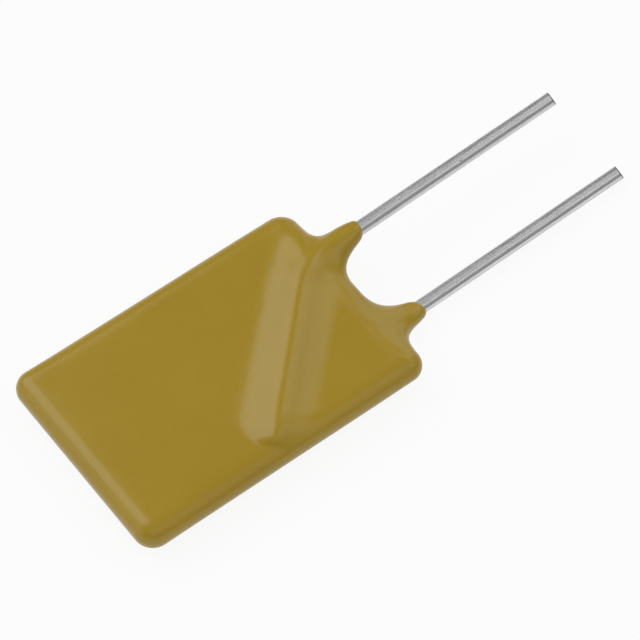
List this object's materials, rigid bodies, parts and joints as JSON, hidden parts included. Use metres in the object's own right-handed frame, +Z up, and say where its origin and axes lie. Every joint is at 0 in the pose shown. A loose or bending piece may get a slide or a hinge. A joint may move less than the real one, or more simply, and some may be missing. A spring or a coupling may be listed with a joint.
{
  "type": "resettable fuse",
  "caption": "Radial-leaded polymer resettable fuse: flat rectangular body dipped in mustard epoxy, ridges over the inner wires, and round tinned leads from one short end.",
  "frame": {"origin": "centre of the bounding box's base: the part lies on its back, and the origin is on the surface under the middle of its length and width", "axes": "+X along the leads and away from the body, +Y toward the side of the front lead, +Z up out of the front face"},
  "size_m": [0.0346, 0.0126, 0.003],
  "materials": {
    "epoxy": "dipped mustard epoxy, smooth with a soft sheen",
    "tinned_copper": "drawn wire, tin plated, with fine lines along its length",
    "nickel_foil": "nodular nickel foil",
    "conductive_polymer": "carbon filled polymer sheet",
    "solder": "reflowed tin solder"
  },
  "bodies": {
    "root": {"polymer_core": "conductive_polymer", "front_foil": "nickel_foil", "rear_foil": "nickel_foil", "front_solder": "solder", "rear_solder": "solder", "front_lead": "tinned_copper", "rear_lead": "tinned_copper", "epoxy_coating": "epoxy"}
  },
  "joints": []
}
